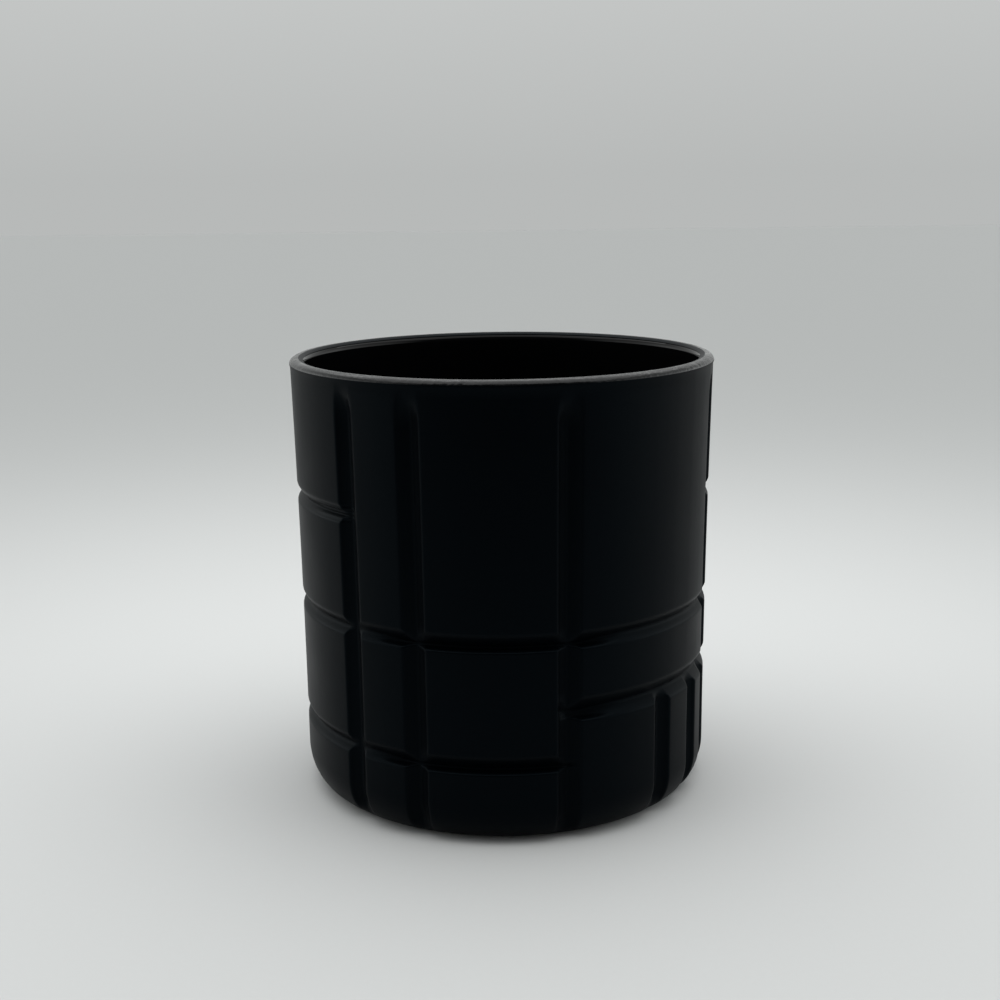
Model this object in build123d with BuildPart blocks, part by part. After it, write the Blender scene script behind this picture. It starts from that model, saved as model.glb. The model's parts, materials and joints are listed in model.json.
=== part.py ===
from build123d import *
import os
from math import sqrt

# An empty candle jar: a pressed glass tumbler with raised panels moulded on its
# outside, sprayed with a thin black lacquer. +Z is up, the origin is the centre of the
# face that the jar stands on, and the middle of its front faces -Y. Lengths are in mm.
# A heading is an angle round the jar from the front, growing towards +X.

os.makedirs("parts", exist_ok=True)

# Outside
total_height = 85.0
lip_radius = 41.0
lip_height = 1.5
shoulder_radius = 40.83
foot_radius = 39.86
heel_height = 8.05
ring_radius = 34.7
ring_rise = 0.3

# Glass
lip_width = 3.0
mouth_depth = 15.0
floor_height = 8.5
floor_radius = 36.0
floor_fillet = 6.0
punt_height = 2.4
punt_edge_height = 1.4
punt_edge_radius = 31.0
ring_inner_radius = 32.0
ring_outer_radius = 34.5

# Lacquer
film = 0.15
film_edge_sweep = 45
base_film_radius = 30.5

# Grooves between the raised panels
upright_depth = 1.3
upright_half_width = 2.5
level_depth = 1.0
run_out_radius = 6.0
run_out_angle = 50
run_out_length = 3.6
heel_clearance = 0.4

# Headings of the upright grooves. The tall ones start under the lip, and the short ones
# start in the wide groove.
tall_top = 81.8
tall_headings = [-103.6, -44.1, -24, 16.6, 76.4, 135.9, 156, 196.6]
short_top = 26.0
short_headings = [47.1, 63.5, 227.1, 243.5]

# Level grooves: (height of the middle, half of the width, [(first, last heading), ...])
high_groove = (59.4, 1.6, [(-103.6, -44.1), (76.4, 135.9)])
girdle_groove = (38.35, 1.6, [(-103.6, 256.4)])
wide_groove = (25.4, 2.2, [(16.6, 135.9), (196.6, 256.4)])
low_groove = (15.5, 1.6, [(-103.6, 16.6), (135.9, 196.6)])
level_grooves = [high_groove, girdle_groove, wide_groove, low_groove]

shoulder_height = total_height - lip_height
heel_reach = foot_radius - ring_radius
lip_middle = lip_radius - lip_width / 2
mouth_radius = lip_radius - lip_width
mouth_bottom = total_height - mouth_depth
lip_step = 0.4


def wall_radius(z):
    """Outside radius of the wall, which stands upright at the heel and flares upwards."""
    rise = (z - heel_height) / (shoulder_height - heel_height)
    return foot_radius + (shoulder_radius - foot_radius) * rise**2


def cutter_radius(half_width, depth):
    """Radius of a round cutter that leaves a groove of this width and depth."""
    return (half_width**2 + depth**2) / (2 * depth)


def outline(inset):
    """Draw the outside from the standing ring to the crest of the lip, set in by inset."""
    EllipticalCenterArc((ring_radius, heel_height), heel_reach - inset,
                        heel_height - ring_rise - inset, start_angle=-90, arc_size=90)
    TangentArc((foot_radius - inset, heel_height), (shoulder_radius - inset, shoulder_height),
               tangent=(0, 1))
    Line((shoulder_radius - inset, shoulder_height),
         (lip_radius - inset, shoulder_height + lip_step))
    EllipticalCenterArc((lip_middle, shoulder_height + lip_step), lip_width / 2 - inset,
                        lip_height - lip_step - inset, start_angle=0, arc_size=90)


def upright_cutter(top, inset):
    """Cutter for one upright groove, at +X: it runs out under its top and round the heel."""
    radius = cutter_radius(upright_half_width, upright_depth)
    away = radius - upright_depth
    turn = top - run_out_length
    with BuildPart() as cutter:
        with BuildLine(Plane.XZ):
            heel = EllipticalCenterArc((ring_radius, heel_height), heel_reach + away,
                                       heel_height + radius + heel_clearance - ring_rise,
                                       start_angle=-90, arc_size=90)
            wall = TangentArc(heel @ 1, (wall_radius(turn) + away, turn), tangent=(0, 1))
            JernArc(wall @ 1, wall % 1, run_out_radius, -run_out_angle)
        with BuildSketch(Plane(heel @ 0, z_dir=heel % 0)):
            Circle(radius + inset)
        sweep()
    return cutter.part


def level_cutter(middle, half_width, first, last, inset):
    """Cutter for one level groove, from the first heading to the last."""
    radius = cutter_radius(half_width, level_depth)
    with BuildPart() as cutter:
        with BuildSketch(Plane.XZ):
            with Locations((wall_radius(middle) + radius - level_depth, middle)):
                Circle(radius + inset)
        revolve(axis=Axis.Z, revolution_arc=last - first)
    return cutter.part.rotate(Axis.Z, first - 90)


def cut_grooves(inset):
    """Cut every groove out of the piece that is being built."""
    for top, headings in [(tall_top, tall_headings), (short_top, short_headings)]:
        cutter = upright_cutter(top, inset)
        for heading in headings:
            add(cutter, rotation=(0, 0, heading - 90), mode=Mode.SUBTRACT)
    for middle, half_width, spans in level_grooves:
        for first, last in spans:
            add(level_cutter(middle, half_width, first, last, inset), mode=Mode.SUBTRACT)


# The dome under the base is part of a ball, so its height follows from its radius.
punt_rise = punt_height - punt_edge_height
punt_ball = (punt_edge_radius**2 + punt_rise**2) / (2 * punt_rise)


def punt_z(r):
    return punt_height - punt_ball + sqrt(punt_ball**2 - r**2)


with BuildPart() as glass_body:
    with BuildSketch(Plane.XZ):
        with BuildLine():
            ThreePointArc((0, punt_height), (punt_edge_radius / 2, punt_z(punt_edge_radius / 2)),
                          (punt_edge_radius, punt_edge_height))
            Polyline((punt_edge_radius, punt_edge_height), (ring_inner_radius, 0),
                     (ring_outer_radius, 0), (ring_outer_radius, ring_rise + film),
                     (ring_radius, ring_rise + film))
            outline(film)
            EllipticalCenterArc((lip_middle, shoulder_height), lip_width / 2,
                                lip_height - film, start_angle=90, arc_size=90)
            FilletPolyline((mouth_radius, shoulder_height), (mouth_radius, mouth_bottom),
                           (floor_radius, floor_height), (0, floor_height),
                           radius=floor_fillet)
            Line((0, floor_height), (0, punt_height))
        make_face()
    revolve(axis=Axis.Z)
    cut_grooves(film)

# The blank's inner side runs inside the glass, deeper than any groove, so that taking the
# glass away leaves an even film.
with BuildPart() as outer_coat:
    with BuildSketch(Plane.XZ):
        with BuildLine():
            Line((ring_outer_radius, ring_rise), (ring_radius, ring_rise))
            outline(0)
            film_lip = EllipticalCenterArc((lip_middle, shoulder_height), lip_width / 2 + film,
                                           lip_height, start_angle=90,
                                           arc_size=film_edge_sweep)
            glass_lip = EllipticalCenterArc((lip_middle, shoulder_height), lip_width / 2,
                                            lip_height - film, start_angle=90,
                                            arc_size=film_edge_sweep,
                                            mode=Mode.PRIVATE)
            Polyline(film_lip @ 1, glass_lip @ 1, (38.75, 80), (38.0, 45), (37.3, 14),
                     (ring_outer_radius, 6), (ring_outer_radius, ring_rise))
        make_face()
    revolve(axis=Axis.Z)
    cut_grooves(0)
    add(glass_body.part, mode=Mode.SUBTRACT)

with BuildPart() as base_coat:
    with BuildSketch(Plane.XZ):
        with BuildLine():
            half = base_film_radius / 2
            edge = punt_z(base_film_radius)
            ThreePointArc((0, punt_height), (half, punt_z(half)), (base_film_radius, edge))
            Line((base_film_radius, edge), (base_film_radius, edge - film))
            ThreePointArc((base_film_radius, edge - film), (half, punt_z(half) - film),
                          (0, punt_height - film))
            Line((0, punt_height - film), (0, punt_height))
        make_face()
    revolve(axis=Axis.Z)

glass_body.part.label = "glass_body"
outer_coat.part.label = "outer_coat"
base_coat.part.label = "base_coat"

export_step(glass_body.part, "parts/glass_body.step")
export_step(outer_coat.part, "parts/outer_coat.step")
export_step(base_coat.part, "parts/base_coat.step")
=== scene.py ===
"""Looks for an empty candle jar: pressed glass with raised panels, sprayed satin black."""

import json
import math

import bmesh
import bpy
from bpy.props import FloatProperty, FloatVectorProperty, PointerProperty
from mathutils import Matrix, Vector


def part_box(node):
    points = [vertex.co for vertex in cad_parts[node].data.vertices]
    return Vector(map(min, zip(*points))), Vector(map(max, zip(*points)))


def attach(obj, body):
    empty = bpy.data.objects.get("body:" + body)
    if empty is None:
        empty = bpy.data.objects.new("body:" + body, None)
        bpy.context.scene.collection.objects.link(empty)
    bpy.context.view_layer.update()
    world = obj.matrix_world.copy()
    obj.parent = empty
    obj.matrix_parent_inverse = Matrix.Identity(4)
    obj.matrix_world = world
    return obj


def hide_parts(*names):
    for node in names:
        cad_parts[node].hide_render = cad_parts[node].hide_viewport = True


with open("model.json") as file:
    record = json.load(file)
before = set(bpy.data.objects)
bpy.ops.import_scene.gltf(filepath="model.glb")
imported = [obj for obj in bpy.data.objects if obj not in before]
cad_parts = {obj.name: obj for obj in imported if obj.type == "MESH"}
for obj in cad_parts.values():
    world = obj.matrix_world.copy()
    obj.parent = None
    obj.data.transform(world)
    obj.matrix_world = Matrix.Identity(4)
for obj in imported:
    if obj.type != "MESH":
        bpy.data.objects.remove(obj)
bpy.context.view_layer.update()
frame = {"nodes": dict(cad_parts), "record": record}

bl_info = {
    "name": "Panelled Candle Jar",
    "version": (1, 0, 0),
    "blender": (4, 5, 0),
    "location": "3D View > Sidebar > Candle Jar",
    "description": "Pressed glass candle jar with raised panels and a satin black coat",
    "category": "Add Mesh",
}

MM = 0.001
MOUNTS = {mount["name"]: mount for mount in frame["record"]["mounts"]}
COAT_LOW, COAT_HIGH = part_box("outer_coat")
GLASS_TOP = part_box("glass_body")[1].z
PUNT_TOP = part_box("base_coat")[1].z

# Headings, in degrees round the jar from the middle of its front towards +X.
TALL_HEADINGS = (-103.6, -44.1, -24, 16.6, 76.4, 135.9, 156, 196.6)
SHORT_HEADINGS = (47.1, 63.5, 227.1, 243.5)

# Level grooves: height of the middle, half width at the lips, first and last headings.
# All headings repeat half a turn round, so the back is the same as the front.
LEVEL_GROOVES = (
    (59.4 * MM, 1.55 * MM, ((-103.6, -44.1), (76.4, 135.9))),
    (38.35 * MM, 1.6 * MM, ((-103.6, 256.4),)),
    (25.4 * MM, 2.2 * MM, ((16.6, 135.9), (196.6, 256.4))),
    (15.5 * MM, 1.6 * MM, ((-103.6, 16.6), (135.9, 196.6))),
)

# A level groove's low side is steep across the front panel, and slopes out beside it: the
# turns from the panel's middle, in degrees, where the change begins and ends.
FRONT_MIDDLE = (TALL_HEADINGS[2] + TALL_HEADINGS[3]) / 2
FRONT_TURNS = (22, 34)

# Fine ribs stand in the highest groove, beside these headings. They fade out between the
# two turns in degrees, and between the two distances from the groove's middle.
RIB_GROOVE = LEVEL_GROOVES[0]
RIB_HEADINGS = (-51, 129)
RIB_TURNS = (5, 10)
RIB_HEIGHTS = (1.1 * MM, 1.6 * MM)
RIB_ROW = 0.6 * MM

# Grooves fade in between these two heights, as they come up round the heel, and run into
# each other with this round.
HEEL_FADE = (0.4 * MM, 4.5 * MM)
CROSSING_ROUND = 0.3 * MM

# Spacing of the mesh: across a groove's lip, across its floor, and over a panel.
LIP_STEP = 0.18 * MM
LIP_STEPS = 3
FLOOR_STEP = 0.4 * MM
LIP_MARGIN = 1.2 * MM
PANEL_ROW = 1.8 * MM
PANEL_COLUMN = 2.6 * MM

# The lip's gloss begins this many lip steps up, and reaches this far inside the crest.
GLOSS_STEPS = 1.6
GLOSS_INSIDE = 0.2 * MM

CAMERA_CLIP = 10 * MM

# The direction of a point that no groove is pressed into.
STILL = Vector((0, 0))


def length(name, description, default):
    return FloatProperty(name=name, description=description, default=default,
                         unit="LENGTH", subtype="DISTANCE", precision=5)


class JarShape(bpy.types.PropertyGroup):
    """Sizes of the jar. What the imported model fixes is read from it."""

    height: length("Height", "Table to the crest of the lip", COAT_HIGH.z)
    lip_radius: length("Lip radius", "Outside of the lip", COAT_HIGH.x)
    lip_height: length("Lip height", "Step under the lip to its crest", 1.5 * MM)
    lip_step: length("Lip step", "Height of the slope that leads out to the lip", 0.4 * MM)
    shoulder_radius: length("Shoulder radius", "Outside of the wall under the lip",
                            40.83 * MM)
    foot_radius: length("Foot radius", "Outside of the wall at the heel", 39.86 * MM)
    heel_height: length("Heel height", "Table to where the wall stands upright", 8.05 * MM)
    ring_radius: length("Ring radius", "Where the heel's curve ends", 34.7 * MM)
    ring_outer: length("Ring outside", "Outside of the standing ring", 34.5 * MM)
    ring_inner: length("Ring inside", "Inside of the standing ring", 32.0 * MM)
    mouth_radius: length("Mouth radius", "Bore that takes a lid",
                         MOUNTS["mouth"]["dims"]["r_mm"] * MM)
    mouth_depth: length("Mouth depth", "Crest to the end of the bore", 15.0 * MM)
    floor_height: length("Floor height", "Table to the floor inside",
                         MOUNTS["wick_seat"]["pos_m"][2])
    floor_radius: length("Floor radius", "Inside of the wall at the floor", 36.0 * MM)
    floor_round: length("Floor round", "Round between floor and wall", 6.0 * MM)
    punt_edge: length("Punt edge", "Radius of the hollow under the base", 31.0 * MM)
    punt_edge_height: length("Punt edge height", "Table to the hollow's edge", 1.4 * MM)
    film: length("Film", "Thickness of the sprayed coat", COAT_HIGH.z - GLASS_TOP)


class JarGrooves(bpy.types.PropertyGroup):
    """Section of the rounded grooves between the panels."""

    tall_top: length("Tall top", "Height at which the tall grooves begin", 80.9 * MM)
    short_top: length("Short top", "Height at which the short grooves begin", 25.4 * MM)
    upright_half: length("Upright half width", "Centre line to lip", 2.2 * MM)
    upright_depth: length("Upright depth", "Depth of the upright grooves", 1.55 * MM)
    level_depth: length("Level depth", "Depth of the level grooves", 2.1 * MM)
    lip_round: length("Lip round", "How softly a panel rolls into a groove", 0.6 * MM)
    floor_round: length("Groove floor round", "How softly a groove's sides meet", 0.35 * MM)
    rib_height: length("Rib height", "Fine ribs at the end of the high groove", 0.16 * MM)
    rib_pitch: length("Rib pitch", "Middle of one fine rib to the next", 0.9 * MM)
    side_slope: FloatProperty(name="Side slope", default=1.25, min=0.1,
                              description="Depth of a groove's side for each unit across")
    floor_slope: FloatProperty(name="Floor slope", default=0.5, min=0,
                               description="Rise of a groove's floor for each unit across")
    level_low_slope: FloatProperty(name="Level low slope", default=4.0, min=0.1,
                                   description="Side slope under a level groove in front")
    level_aside_slope: FloatProperty(name="Level slope aside", default=0.95, min=0.1,
                                     description="Level low slope beside the front panel")
    level_high_slope: FloatProperty(name="Level high slope", default=0.7, min=0.1,
                                    description="Side slope over a level groove")
    level_floor_slope: FloatProperty(name="Level floor slope", default=0.0, min=0,
                                     description="Floor slope of the level grooves")


class JarFinish(bpy.types.PropertyGroup):
    """Colour and gloss of the coat and the glass."""

    coat_colour: FloatVectorProperty(name="Coat colour", description="Sprayed lacquer",
                                     subtype="COLOR", size=3, min=0, max=1,
                                     default=(0.0001, 0.0005, 0.0011))
    coat_roughness: FloatProperty(name="Coat roughness", default=0.42, min=0, max=1,
                                  description="Sheen of the lacquer on the panels")
    coat_ior: FloatProperty(name="Coat index", default=1.135, min=1, max=2,
                            description="Refractive index of the flatted lacquer")
    coat_sheen: FloatVectorProperty(name="Coat sheen", description="Tint of its reflection",
                                    subtype="COLOR", size=3, min=0, max=1,
                                    default=(0.6, 0.84, 1.0))
    lip_ior: FloatProperty(name="Lip index", default=1.3, min=1, max=2,
                           description="Refractive index of the glossy lip")
    glass_ior: FloatProperty(name="Glass index", default=1.2, min=1, max=2,
                             description="Refractive index of the dulled glass inside")
    glass_colour: FloatVectorProperty(name="Glass colour",
                                      description="Glass over its coat",
                                      subtype="COLOR", size=3, min=0, max=1,
                                      default=(0.0012, 0.0013, 0.0015))
    glass_roughness: FloatProperty(name="Glass roughness", default=0.035, min=0, max=1,
                                   description="Gloss of the fire-polished inside")


class JarStage(bpy.types.PropertyGroup):
    """Camera, floor and studio light."""

    camera_distance: length("Camera distance", "Jar's axis to the camera", 292 * MM)
    camera_height: length("Camera height", "Table to the camera", 118.9 * MM)
    camera_side: length("Camera side", "Camera's place to the left of the axis", 0.6 * MM)
    camera_pitch: FloatProperty(name="Pitch", description="Camera's tilt down",
                                subtype="ANGLE", default=math.radians(12.22))
    camera_roll: FloatProperty(name="Roll", description="Camera's turn about its view",
                               subtype="ANGLE", default=math.radians(-0.65))
    camera_lens: FloatProperty(name="Lens", description="Focal length in mm",
                               unit="CAMERA", default=54.16)
    floor_colour: FloatVectorProperty(name="Floor colour", description="Pale paper floor",
                                      subtype="COLOR", size=3, min=0, max=1,
                                      default=(0.618, 0.624, 0.623))
    floor_reach: length("Floor reach", "Paper beside and behind the jar", 3.0)
    floor_front: length("Floor front", "Jar's axis to the paper's front edge", 0.35)
    room_tint: FloatVectorProperty(name="Room tint", description="Colour of the pale room",
                                   subtype="COLOR", size=3, min=0, max=1,
                                   default=(0.975, 1.0, 0.99))
    wall_tone: FloatProperty(name="Wall tone", description="Pale wall behind the jar",
                             default=0.49, min=0, max=1)
    front_tone: FloatProperty(name="Front tone", description="Dim room in front of the jar",
                              default=0.09, min=0, max=1)
    side_tone: FloatProperty(name="Side tone", description="Room beside the jar",
                             default=1.2, min=0, max=2)
    window_tone: FloatProperty(name="Window tone", description="Low windows beside the jar",
                               default=2.1, min=0, max=4)
    back_tone: FloatProperty(name="Back tone", description="Room behind the jar",
                             default=0.47, min=0, max=2)
    top_tone: FloatProperty(name="Top tone", description="Ceiling over the jar",
                            default=0.8, min=0, max=2)
    lamp_power: FloatProperty(name="Lamp power", description="Soft box over the jar, in W",
                              default=0.57, min=0)
    lamp_height: length("Lamp height", "Table to the soft box", 0.25)
    lamp_back: length("Lamp back", "Soft box's place behind the axis", 0.04)
    lamp_size: length("Lamp size", "Side of the soft box", 0.35)


# ---------------------------------------------------------------- outline of the jar


def wall_radius(shape, z):
    """Outside of the wall, which stands upright at the heel and flares to the lip."""
    shoulder = shape.height - shape.lip_height
    rise = (z - shape.heel_height) / (shoulder - shape.heel_height)
    return shape.foot_radius + (shape.shoulder_radius - shape.foot_radius) * rise**2


def arc(centre, radius_x, radius_z, first, last, steps):
    """Points on an ellipse's arc, angles in degrees, with the outward direction of each."""
    points = []
    for i in range(steps + 1):
        angle = math.radians(first + (last - first) * i / steps)
        r = centre[0] + radius_x * math.cos(angle)
        z = centre[1] + radius_z * math.sin(angle)
        out = Vector((math.cos(angle) / radius_x, math.sin(angle) / radius_z)).normalized()
        points.append((r, z, out))
    return points


def stations(first, last, grooves, coarse, unit=1):
    """Places from first to last: close together at the lips of each groove, which is given
    by its middle and half width, and wide apart elsewhere. unit is one metre's worth."""
    marks = {first, last}
    for middle, half in grooves:
        offsets = [0, FLOOR_STEP, 2 * FLOOR_STEP, half + LIP_MARGIN]
        offsets += [half + LIP_STEP * i for i in range(-LIP_STEPS, LIP_STEPS + 1)]
        marks.update(middle + side * offset * unit
                     for offset in offsets for side in (-1, 1))
    places = [first]
    for mark in sorted(mark for mark in marks if first < mark <= last):
        gap = mark - places[-1]
        if gap < 0.5 * LIP_STEP * unit and mark != last:
            continue
        steps = max(1, math.ceil(gap / (coarse * unit)))
        start = places[-1]
        places.extend(start + gap * (i + 1) / steps for i in range(steps))
    return places


def lip_section(shape):
    """Radius of the lip's crest, and half of the lip's thickness."""
    return ((shape.lip_radius + shape.mouth_radius) / 2,
            (shape.lip_radius - shape.mouth_radius) / 2)


def outer_outline(shape, inset):
    """Outside from the standing ring to the crest, as (r, z, direction to press along)."""
    ribs = [(RIB_GROOVE[0] + offset, 0) for offset in (-RIB_ROW, RIB_ROW)]
    shoulder = shape.height - shape.lip_height
    heel = arc((shape.ring_radius, shape.heel_height),
               shape.foot_radius - shape.ring_radius - inset,
               shape.heel_height - COAT_LOW.z - inset, -90, 0, steps=20)
    heights = stations(shape.heel_height, shoulder,
                       [groove[:2] for groove in LEVEL_GROOVES] + ribs, PANEL_ROW)
    wall = [(wall_radius(shape, z) - inset, z, Vector((1, 0))) for z in heights[1:]]
    step = shoulder + shape.lip_step
    crest, half = lip_section(shape)
    lip = arc((crest, step), half - inset, shape.height - step - inset, 0, 90, steps=10)
    return heel + wall + [(r, z, STILL) for r, z, out in lip]


def inner_lip(shape, film_out, film_up, last, steps):
    """The lip's round on its inner side, from just past the crest down to the bore."""
    crest, half = lip_section(shape)
    points = arc((crest, shape.height - shape.lip_height), half + film_out,
                 shape.lip_height - film_up, 90, last, steps)
    return [(r, z, STILL) for r, z, out in points[1:]]


def straight(first, last, steps):
    """Points on a straight line, without its first one."""
    return [(first[0] + (last[0] - first[0]) * i / steps,
             first[1] + (last[1] - first[1]) * i / steps) for i in range(1, steps + 1)]


def underside(shape):
    """Hollow under the base and the rounded standing ring, out to the coat's edge."""
    rise = PUNT_TOP - shape.punt_edge_height
    ball = (shape.punt_edge**2 + rise**2) / (2 * rise)
    radii = [shape.punt_edge * i / 12 for i in range(13)]
    hollow = [(r, PUNT_TOP - ball + math.sqrt(ball**2 - r**2)) for r in radii]
    inner, outer = shape.ring_inner, shape.ring_outer
    ring = [(inner - 0.25 * MM, 0.3 * MM), (inner, 0.08 * MM), (inner + 0.2 * MM, 0),
            (outer - 0.2 * MM, 0), (outer, 0.12 * MM), (outer, COAT_LOW.z + shape.film)]
    return hollow + ring


def inside_outline(shape):
    """Inside of the glass, from the lip down the bore to the middle of the floor."""
    lip = (shape.mouth_radius, shape.height - shape.lip_height)
    bore_end = (shape.mouth_radius, shape.height - shape.mouth_depth)
    slope = (shape.mouth_radius - shape.floor_radius) / (bore_end[1] - shape.floor_height)
    tilt = math.atan(slope)
    turn = shape.floor_round
    middle_r = shape.floor_radius + slope * turn - turn / math.cos(tilt)
    middle_z = shape.floor_height + turn
    wall_foot = (middle_r + turn * math.cos(tilt), middle_z - turn * math.sin(tilt))
    corner = arc((middle_r, middle_z), turn, turn, -math.degrees(tilt), -90, steps=14)
    return (straight(lip, bore_end, 6) + straight(bore_end, wall_foot, 24)[:-1]
            + [(r, z) for r, z, out in corner]
            + straight((middle_r, shape.floor_height), (0, shape.floor_height), 10))


def plain(points):
    """Points that no groove is pressed into."""
    return [(r, z, STILL) for r, z in points]


def column_headings(shape, grooves):
    """Headings of the mesh's columns: close together where an upright groove runs."""
    first = TALL_HEADINGS[0]
    centres = sorted(TALL_HEADINGS + SHORT_HEADINGS) + [first + 360]
    return stations(first, first + 360, [(h, grooves.upright_half) for h in centres],
                    PANEL_COLUMN, math.degrees(1 / shape.foot_radius))[:-1]


# ---------------------------------------------------------------- meshes


def turned(name, profile, headings, closed):
    """A mesh turned from a profile. Its points keep the direction they are pressed along."""
    mesh = bpy.data.meshes.new(name)
    build = bmesh.new()
    press = build.verts.layers.float_vector.new("press")
    columns = []
    for heading in headings:
        s, c = math.sin(math.radians(heading)), -math.cos(math.radians(heading))
        column = []
        for r, z, out in profile:
            vert = build.verts.new((r * s, r * c, z))
            vert[press] = Vector((out.x * s, out.x * c, out.y))
            column.append(vert)
        columns.append(column)
    rows = len(profile) if closed else len(profile) - 1
    for i, column in enumerate(columns):
        beside = columns[(i + 1) % len(columns)]
        for j in range(rows):
            k = (j + 1) % len(profile)
            build.faces.new((column[j], beside[j], beside[k], column[k]))
    bmesh.ops.remove_doubles(build, verts=build.verts[:], dist=1e-7)
    bmesh.ops.recalc_face_normals(build, faces=build.faces[:])
    build.to_mesh(mesh)
    build.free()
    mesh.polygons.foreach_set("use_smooth", [True] * len(mesh.polygons))
    mesh.set_sharp_from_angle(angle=math.radians(50))
    piece = bpy.data.objects.new(name, mesh)
    bpy.context.scene.collection.objects.link(piece)
    return piece


def settle(piece):
    """Turn a piece's modifiers into its plain mesh."""
    depsgraph = bpy.context.evaluated_depsgraph_get()
    mesh = bpy.data.meshes.new_from_object(piece.evaluated_get(depsgraph),
                                           preserve_all_data_layers=True,
                                           depsgraph=depsgraph)
    piece.modifiers.clear()
    piece.data = mesh
    mesh.name = piece.name
    return piece


# ---------------------------------------------------------------- node helpers


def feed(tree, value, socket):
    """Link a socket's value to another socket, or set a plain number on it."""
    if isinstance(value, bpy.types.NodeSocket):
        tree.links.new(value, socket)
    else:
        socket.default_value = value


def node_math(tree, operation, *values):
    """A Math node on values that are numbers or sockets, and its result."""
    node = tree.nodes.new("ShaderNodeMath")
    node.operation = operation
    for socket, value in zip(node.inputs, values):
        feed(tree, value, socket)
    return node.outputs[0]


def smooth_range(tree, value, low, high):
    """0 below low and 1 above high, with a smooth step between."""
    node = tree.nodes.new("ShaderNodeMapRange")
    node.interpolation_type = "SMOOTHSTEP"
    tree.links.new(value, node.inputs["Value"])
    node.inputs["From Min"].default_value = low
    node.inputs["From Max"].default_value = high
    return node.outputs["Result"]


# ---------------------------------------------------------------- moulded panels


def groove_section_tree():
    """Node group: how deep one groove cuts at a point, below zero outside its lips."""
    tree = bpy.data.node_groups.new("Groove section", "GeometryNodeTree")
    for name in ("Across", "Past End", "Half Width", "Depth", "Low Side Slope",
                 "High Side Slope", "Floor Slope", "Floor Round"):
        tree.interface.new_socket(name, in_out="INPUT", socket_type="NodeSocketFloat")
    tree.interface.new_socket("Cut", in_out="OUTPUT", socket_type="NodeSocketFloat")
    given = tree.nodes.new("NodeGroupInput").outputs
    across = node_math(tree, "POWER", node_math(tree, "ABSOLUTE", given["Across"]), 2)
    beyond = node_math(tree, "POWER", node_math(tree, "MAXIMUM", given["Past End"], 0), 2)
    away = node_math(tree, "SQRT", node_math(tree, "ADD", across, beyond))
    low_side = node_math(tree, "MULTIPLY", given["Low Side Slope"],
                         node_math(tree, "SUBTRACT", given["Half Width"], away))
    high_side = node_math(tree, "MULTIPLY", given["High Side Slope"],
                          node_math(tree, "SUBTRACT", given["Half Width"],
                                    given["Across"]))
    side = node_math(tree, "MINIMUM", low_side, high_side)
    floor = node_math(tree, "SUBTRACT", given["Depth"],
                      node_math(tree, "MULTIPLY", given["Floor Slope"], away))
    cut = node_math(tree, "SMOOTH_MIN", side, floor, given["Floor Round"])
    result = tree.nodes.new("NodeGroupOutput")
    tree.links.new(cut, result.inputs["Cut"])
    return tree


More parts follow.
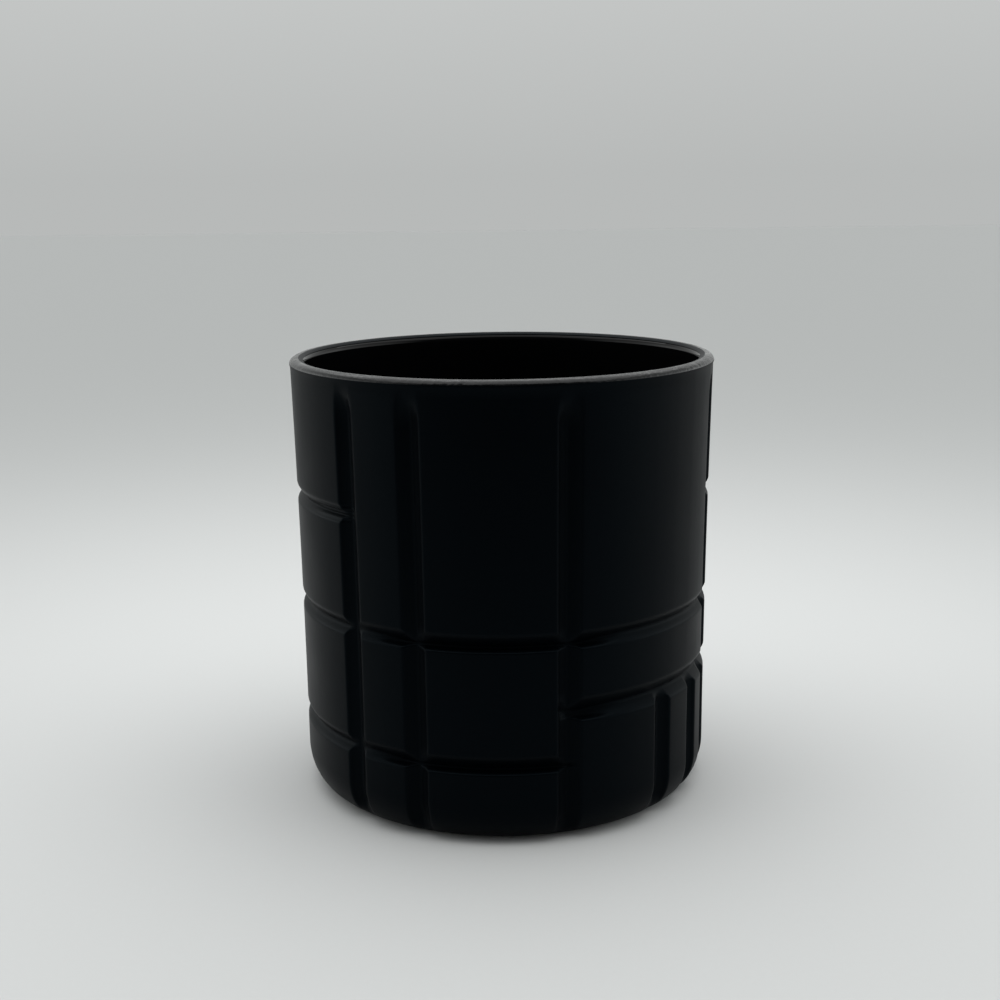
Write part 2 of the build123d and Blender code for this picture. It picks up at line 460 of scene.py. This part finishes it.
def panel_tree(grooves):
    """Geometry nodes that press every groove into a turned mesh."""
    section = groove_section_tree()
    tree = bpy.data.node_groups.new("Moulded panels", "GeometryNodeTree")
    sizes = {"Upright Low Side Slope": grooves.side_slope,
             "Upright High Side Slope": grooves.side_slope,
             "Upright Floor Slope": grooves.floor_slope,
             "Level Low Side Slope": grooves.level_low_slope,
             "Level Aside Slope": grooves.level_aside_slope,
             "Level High Side Slope": grooves.level_high_slope,
             "Level Floor Slope": grooves.level_floor_slope,
             "Lip Round": grooves.lip_round, "Floor Round": grooves.floor_round,
             "Rib Height": grooves.rib_height, "Rib Pitch": grooves.rib_pitch,
             "Upright Half Width": grooves.upright_half,
             "Upright Depth": grooves.upright_depth, "Level Depth": grooves.level_depth,
             "Tall Top": grooves.tall_top, "Short Top": grooves.short_top}
    tree.interface.new_socket("Geometry", in_out="INPUT", socket_type="NodeSocketGeometry")
    tree.interface.new_socket("Material", in_out="INPUT", socket_type="NodeSocketMaterial")
    for name in sizes:
        tree.interface.new_socket(name, in_out="INPUT", socket_type="NodeSocketFloat")
    tree.interface.new_socket("Geometry", in_out="OUTPUT", socket_type="NodeSocketGeometry")
    given = tree.nodes.new("NodeGroupInput").outputs

    place = tree.nodes.new("ShaderNodeSeparateXYZ")
    tree.links.new(tree.nodes.new("GeometryNodeInputPosition").outputs[0], place.inputs[0])
    x, y, z = place.outputs
    square = node_math(tree, "ADD", node_math(tree, "MULTIPLY", x, x),
                       node_math(tree, "MULTIPLY", y, y))
    radius = node_math(tree, "SQRT", square)
    heading = node_math(tree, "ARCTAN2", x, node_math(tree, "MULTIPLY", y, -1))

    def turn_from(centre):
        """Signed turn from a heading in degrees to the point, in radians."""
        turn = node_math(tree, "SUBTRACT", heading, math.radians(centre))
        return node_math(tree, "WRAP", turn, math.pi, -math.pi)

    from_front = node_math(tree, "WRAP",
                           node_math(tree, "SUBTRACT", heading, math.radians(FRONT_MIDDLE)),
                           math.pi / 2, -math.pi / 2)
    aside = smooth_range(tree, node_math(tree, "ABSOLUTE", from_front),
                         *(math.radians(turn) for turn in FRONT_TURNS))
    level_gap = node_math(tree, "SUBTRACT", given["Level Aside Slope"],
                          given["Level Low Side Slope"])
    low_slopes = {"Upright": given["Upright Low Side Slope"],
                  "Level": node_math(tree, "MULTIPLY_ADD", aside, level_gap,
                                     given["Level Low Side Slope"])}

    def groove(direction, across, past_end, half_width):
        """How deep one upright or level groove cuts."""
        node = tree.nodes.new("GeometryNodeGroup")
        node.node_tree = section
        for name, value in (("Across", across), ("Past End", past_end),
                            ("Half Width", half_width),
                            ("Depth", given[direction + " Depth"]),
                            ("Low Side Slope", low_slopes[direction]),
                            ("High Side Slope", given[direction + " High Side Slope"]),
                            ("Floor Slope", given[direction + " Floor Slope"]),
                            ("Floor Round", given["Floor Round"])):
            feed(tree, value, node.inputs[name])
        return node.outputs["Cut"]

    cuts = []
    half = given["Upright Half Width"]
    for top, headings in ((given["Tall Top"], TALL_HEADINGS),
                          (given["Short Top"], SHORT_HEADINGS)):
        past_end = node_math(tree, "SUBTRACT", z, node_math(tree, "SUBTRACT", top, half))
        for centre in headings:
            across = node_math(tree, "MULTIPLY", turn_from(centre), radius)
            cuts.append(groove("Upright", across, past_end, half))
    for middle, half_width, spans in LEVEL_GROOVES:
        across = node_math(tree, "SUBTRACT", z, middle)
        for first, last in spans:
            turn = node_math(tree, "ABSOLUTE", turn_from((first + last) / 2))
            over = node_math(tree, "SUBTRACT", turn, math.radians((last - first) / 2))
            past_end = node_math(tree, "MULTIPLY", over, radius)
            cuts.append(groove("Level", across, past_end, half_width))

    deepest = cuts[0]
    for cut in cuts[1:]:
        deepest = node_math(tree, "SMOOTH_MAX", deepest, cut, CROSSING_ROUND)
    rolled = node_math(tree, "SMOOTH_MAX", deepest, 0, given["Lip Round"])
    from_rib = node_math(tree, "SUBTRACT", z, RIB_GROOVE[0])
    phase = node_math(tree, "DIVIDE", node_math(tree, "MULTIPLY", from_rib, math.tau),
                      given["Rib Pitch"])
    beside = node_math(tree, "MINIMUM", *(node_math(tree, "ABSOLUTE", turn_from(centre))
                                          for centre in RIB_HEADINGS))
    outside = node_math(tree, "MAXIMUM",
                        smooth_range(tree, node_math(tree, "ABSOLUTE", from_rib),
                                     *RIB_HEIGHTS),
                        smooth_range(tree, beside,
                                     *(math.radians(turn) for turn in RIB_TURNS)))
    rib = node_math(tree, "MULTIPLY", node_math(tree, "COSINE", phase),
                    node_math(tree, "MULTIPLY", given["Rib Height"],
                              node_math(tree, "SUBTRACT", 1, outside)))
    ribbed = node_math(tree, "SUBTRACT", rolled, rib)
    fade = smooth_range(tree, z, *HEEL_FADE)
    depth = node_math(tree, "MULTIPLY", ribbed, fade)

    press = tree.nodes.new("GeometryNodeInputNamedAttribute")
    press.data_type = "FLOAT_VECTOR"
    press.inputs["Name"].default_value = "press"
    offset = tree.nodes.new("ShaderNodeVectorMath")
    offset.operation = "SCALE"
    tree.links.new(press.outputs["Attribute"], offset.inputs[0])
    tree.links.new(node_math(tree, "MULTIPLY", depth, -1), offset.inputs["Scale"])

    store = tree.nodes.new("GeometryNodeStoreNamedAttribute")
    store.data_type = "FLOAT"
    store.domain = "POINT"
    store.inputs["Name"].default_value = "groove"
    tree.links.new(given["Geometry"], store.inputs["Geometry"])
    share = node_math(tree, "DIVIDE", depth, given["Upright Depth"])
    tree.links.new(share, store.inputs["Value"])
    move = tree.nodes.new("GeometryNodeSetPosition")
    tree.links.new(store.outputs["Geometry"], move.inputs["Geometry"])
    tree.links.new(offset.outputs[0], move.inputs["Offset"])
    realize = tree.nodes.new("GeometryNodeRealizeInstances")
    tree.links.new(move.outputs["Geometry"], realize.inputs["Geometry"])
    finish = tree.nodes.new("GeometryNodeSetMaterial")
    tree.links.new(realize.outputs["Geometry"], finish.inputs["Geometry"])
    tree.links.new(given["Material"], finish.inputs["Material"])
    result = tree.nodes.new("NodeGroupOutput")
    tree.links.new(finish.outputs["Geometry"], result.inputs["Geometry"])
    return tree, sizes


def press_panels(piece, grooves, material):
    """Press the grooves into a piece and give it its material."""
    tree, sizes = panel_tree(grooves)
    modifier = piece.modifiers.new("Moulded panels", "NODES")
    modifier.node_group = tree
    for item in tree.interface.items_tree:
        if item.in_out == "INPUT" and item.name in sizes:
            modifier[item.identifier] = sizes[item.name]
        elif item.in_out == "INPUT" and item.name == "Material":
            modifier[item.identifier] = material
    return settle(piece)


# ---------------------------------------------------------------- materials


class Shader:
    """A material's nodes, with short calls for the ones the finishes share."""

    def __init__(self, name):
        self.material = bpy.data.materials.new(name)
        self.material.use_nodes = True
        self.tree = self.material.node_tree
        self.surface = self.tree.nodes["Principled BSDF"]
        coordinates = self.tree.nodes.new("ShaderNodeTexCoord")
        self.place = coordinates.outputs["Object"]

    def link(self, source, socket):
        """Link a node's output to one of the surface's sockets."""
        self.tree.links.new(source, self.surface.inputs[socket])

    def noise(self, scale, detail):
        """Noise of this many cells to the metre."""
        node = self.tree.nodes.new("ShaderNodeTexNoise")
        node.inputs["Scale"].default_value = scale
        node.inputs["Detail"].default_value = detail
        self.tree.links.new(self.place, node.inputs["Vector"])
        return node.outputs["Fac"]

    def spread(self, value, low, high, out_low, out_high):
        """The stretch from low to high, spread from out_low to out_high."""
        node = self.tree.nodes.new("ShaderNodeMapRange")
        self.tree.links.new(value, node.inputs["Value"])
        for name, number in (("From Min", low), ("From Max", high),
                             ("To Min", out_low), ("To Max", out_high)):
            node.inputs[name].default_value = number
        return node.outputs["Result"]

    def mottle(self, factor, colour, share):
        """Colour the surface, darker and lighter by a share as the factor rises."""
        node = self.tree.nodes.new("ShaderNodeMix")
        node.data_type = "RGBA"
        self.tree.links.new(factor, node.inputs["Factor"])
        for name, change in (("A", 1 - share), ("B", 1 + share)):
            node.inputs[name].default_value = (*(c * change for c in colour), 1)
        self.link(node.outputs["Result"], "Base Color")

    def bump(self, height, distance, strength, under=None):
        """Relief of a height in metres, on top of another relief if one is given."""
        node = self.tree.nodes.new("ShaderNodeBump")
        node.inputs["Distance"].default_value = distance
        node.inputs["Strength"].default_value = strength
        self.tree.links.new(height, node.inputs["Height"])
        if under is not None:
            self.tree.links.new(under, node.inputs["Normal"])
        return node.outputs["Normal"]


def satin_lacquer(finish):
    """Sprayed satin lacquer: fine orange peel, uneven sheen, drier spray in the grooves."""
    shader = Shader("satin_black_lacquer")
    surface = shader.surface
    surface.inputs["IOR"].default_value = finish.coat_ior
    surface.inputs["Specular Tint"].default_value = (*finish.coat_sheen, 1)
    clouds = shader.noise(70, 3)
    shader.mottle(clouds, finish.coat_colour, 0.3)
    groove = shader.tree.nodes.new("ShaderNodeAttribute")
    groove.attribute_name = "groove"
    dry = shader.spread(groove.outputs["Fac"], 0.2, 1.0, 0.0, 0.08)
    sheen = shader.spread(clouds, 0.3, 0.7, finish.coat_roughness - 0.03,
                          finish.coat_roughness + 0.03)
    shader.link(node_math(shader.tree, "ADD", sheen, dry), "Roughness")
    peel = shader.bump(shader.noise(1500, 2), 0.03 * MM, 0.25)
    shader.link(shader.bump(shader.noise(260, 2), 0.05 * MM, 0.3, peel), "Normal")
    return shader.material


def gloss_lip(finish):
    """The lip, where the spray lies thin and glossy on the fire-polished glass."""
    shader = Shader("gloss_black_lip")
    shader.surface.inputs["IOR"].default_value = finish.lip_ior
    clouds = shader.noise(240, 2)
    shader.mottle(clouds, finish.coat_colour, 0.3)
    shader.link(shader.spread(clouds, 0.35, 0.65, 0.12, 0.3), "Roughness")
    patches = shader.spread(shader.noise(55, 1), 0.44, 0.6, 0.3, 1)
    beads = node_math(shader.tree, "MULTIPLY", shader.noise(900, 1), patches)
    shader.link(shader.bump(beads, 0.26 * MM, 0.8), "Normal")
    return shader.material


def gloss_glass(finish):
    """Fire-polished glass that looks black because the coat shows through it."""
    shader = Shader("gloss_black_glass")
    shader.surface.inputs["IOR"].default_value = finish.glass_ior
    clouds = shader.noise(35, 2)
    shader.mottle(clouds, finish.glass_colour, 0.2)
    shader.link(shader.spread(clouds, 0.3, 0.7, finish.glass_roughness * 0.6,
                              finish.glass_roughness * 1.4), "Roughness")
    shader.link(shader.bump(shader.noise(55, 1), 0.2 * MM, 0.25), "Normal")
    return shader.material


def paper_floor(stage):
    """Matte pale paper."""
    shader = Shader("pale_paper")
    shader.surface.inputs["Roughness"].default_value = 0.9
    shader.surface.inputs["Specular IOR Level"].default_value = 0.1
    shader.mottle(shader.noise(900, 3), stage.floor_colour, 0.01)
    return shader.material


# The room is laid out by direction: how far to the back (Y) and how far up (Z) each of its
# parts begins and ends. The ceiling leans to the back, and the wall gets paler upwards.
SIDES_BACK = (-0.7, -0.08)
WINDOWS_UP = (0.5, 0.2)
FAR_SIDE_BACK = (0.4, 0.98)
CEILING_LEAN = 0.7
CEILING_UP = (0.5, 1.0)
WALL_RISE = 0.66


def studio_world(stage):
    """A room that is dim in front and pale elsewhere, before a pale wall."""
    world = bpy.data.worlds.new("Studio")
    world.use_nodes = True
    tree = world.node_tree
    way = tree.nodes.new("ShaderNodeSeparateXYZ")
    tree.links.new(tree.nodes.new("ShaderNodeTexCoord").outputs["Generated"], way.inputs[0])
    back, up = way.outputs["Y"], way.outputs["Z"]
    beside = smooth_range(tree, back, *SIDES_BACK)
    window = node_math(tree, "MULTIPLY", beside, smooth_range(tree, up, *WINDOWS_UP))
    behind = smooth_range(tree, back, *FAR_SIDE_BACK)
    above = smooth_range(tree, node_math(tree, "MULTIPLY_ADD", back, CEILING_LEAN, up),
                         *CEILING_UP)
    wall = node_math(tree, "MULTIPLY_ADD", node_math(tree, "MAXIMUM", up, 0),
                     WALL_RISE, stage.wall_tone)
    seen = tree.nodes.new("ShaderNodeLightPath").outputs["Is Camera Ray"]
    tone = stage.front_tone
    for share, next_tone in ((beside, stage.side_tone), (window, stage.window_tone),
                             (behind, stage.back_tone), (above, stage.top_tone),
                             (seen, wall)):
        gap = node_math(tree, "SUBTRACT", next_tone, tone)
        tone = node_math(tree, "MULTIPLY_ADD", gap, share, tone)
    tint = tree.nodes.new("ShaderNodeVectorMath")
    tint.operation = "SCALE"
    tint.inputs[0].default_value = stage.room_tint
    tree.links.new(tone, tint.inputs["Scale"])
    tree.links.new(tint.outputs[0], tree.nodes["Background"].inputs["Color"])
    return world


# ---------------------------------------------------------------- operators


class JAR_OT_glass(bpy.types.Operator):
    """Make the pressed glass tumbler"""

    bl_idname = "candle_jar.glass"
    bl_label = "Pressed Glass"

    def execute(self, context):
        scene = context.scene
        shape, grooves = scene.jar_shape, scene.jar_grooves
        profile = (plain(underside(shape)) + outer_outline(shape, shape.film)
                   + inner_lip(shape, 0, shape.film, last=180, steps=8)
                   + plain(inside_outline(shape)))
        piece = turned("pressed_glass", profile, column_headings(shape, grooves),
                       closed=False)
        press_panels(piece, grooves, gloss_glass(scene.jar_finish))
        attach(piece, "root")
        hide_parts("glass_body")
        return {"FINISHED"}


class JAR_OT_coat(bpy.types.Operator):
    """Make the sprayed coat that follows every panel and groove"""

    bl_idname = "candle_jar.coat"
    bl_label = "Outer Coat"

    def execute(self, context):
        scene = context.scene
        shape, grooves = scene.jar_shape, scene.jar_grooves
        outside = (outer_outline(shape, 0)
                   + inner_lip(shape, shape.film, 0, last=135, steps=5))
        inside = (outer_outline(shape, shape.film)
                  + inner_lip(shape, 0, shape.film, last=135, steps=5))
        foot = plain([(shape.ring_outer, COAT_LOW.z)])
        foot_inside = plain([(shape.ring_outer, COAT_LOW.z + shape.film)])
        piece = turned("sprayed_coat", foot + outside + inside[::-1] + foot_inside,
                       column_headings(shape, grooves), closed=True)
        lacquer = satin_lacquer(scene.jar_finish)
        press_panels(piece, grooves, lacquer)
        piece.data.materials.append(gloss_lip(scene.jar_finish))
        gloss_low = shape.height - shape.lip_height + GLOSS_STEPS * shape.lip_step
        gloss_radius = lip_section(shape)[0] - GLOSS_INSIDE
        for face in piece.data.polygons:
            on_lip = face.center.z > gloss_low and face.center.xy.length > gloss_radius
            face.material_index = 1 if on_lip else 0
        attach(piece, "root")
        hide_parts("outer_coat")
        punt = frame["nodes"]["base_coat"]
        punt.data.materials.clear()
        punt.data.materials.append(lacquer)
        return {"FINISHED"}


class JAR_OT_stage(bpy.types.Operator):
    """Make the paper floor, the studio light and the camera"""

    bl_idname = "candle_jar.stage"
    bl_label = "Studio"

    def execute(self, context):
        stage = context.scene.jar_stage
        reach, front = stage.floor_reach, stage.floor_front
        sheet = bpy.data.meshes.new("paper_floor")
        sheet.from_pydata([(-reach, -front, 0), (reach, -front, 0),
                           (reach, reach, 0), (-reach, reach, 0)], [], [(0, 1, 2, 3)])
        sheet.materials.append(paper_floor(stage))
        floor = bpy.data.objects.new("paper_floor", sheet)
        context.scene.collection.objects.link(floor)

        context.scene.world = studio_world(stage)
        lamp_data = bpy.data.lights.new("Soft box", "AREA")
        lamp_data.energy = stage.lamp_power
        lamp_data.size = stage.lamp_size
        lamp = bpy.data.objects.new("Soft box", lamp_data)
        lamp.location = (0, stage.lamp_back, stage.lamp_height)
        context.scene.collection.objects.link(lamp)
        context.scene.view_settings.view_transform = "Standard"

        camera_data = bpy.data.cameras.new("Camera")
        camera_data.lens = stage.camera_lens
        camera_data.clip_start = CAMERA_CLIP
        camera = bpy.data.objects.new("Camera", camera_data)
        context.scene.collection.objects.link(camera)
        tilt = Matrix.Rotation(math.radians(90) - stage.camera_pitch, 4, "X")
        roll = Matrix.Rotation(stage.camera_roll, 4, "Z")
        spot = Matrix.Translation((-stage.camera_side, -stage.camera_distance,
                                   stage.camera_height))
        camera.matrix_world = spot @ tilt @ roll
        context.scene.camera = camera
        return {"FINISHED"}


class JAR_PT_panel(bpy.types.Panel):
    """Operators and sizes of the candle jar"""

    bl_label = "Candle Jar"
    bl_idname = "JAR_PT_panel"
    bl_space_type = "VIEW_3D"
    bl_region_type = "UI"
    bl_category = "Candle Jar"

    def draw(self, context):
        for operator in OPERATORS:
            self.layout.operator(operator.bl_idname)
        for name, group in GROUPS.items():
            box = self.layout.box()
            for prop in group.__annotations__:
                box.prop(getattr(context.scene, name), prop)


GROUPS = {"jar_shape": JarShape, "jar_grooves": JarGrooves, "jar_finish": JarFinish,
          "jar_stage": JarStage}
OPERATORS = (JAR_OT_glass, JAR_OT_coat, JAR_OT_stage)


def register():
    for cls in (*GROUPS.values(), *OPERATORS, JAR_PT_panel):
        bpy.utils.register_class(cls)
    for name, group in GROUPS.items():
        setattr(bpy.types.Scene, name, PointerProperty(type=group))


def unregister():
    for name in GROUPS:
        delattr(bpy.types.Scene, name)
    for cls in (JAR_PT_panel, *reversed(OPERATORS), *reversed(tuple(GROUPS.values()))):
        bpy.utils.unregister_class(cls)


def main():
    register()
    bpy.ops.candle_jar.glass()
    bpy.ops.candle_jar.coat()
    bpy.ops.candle_jar.stage()


if __name__ == "__main__":
    main()
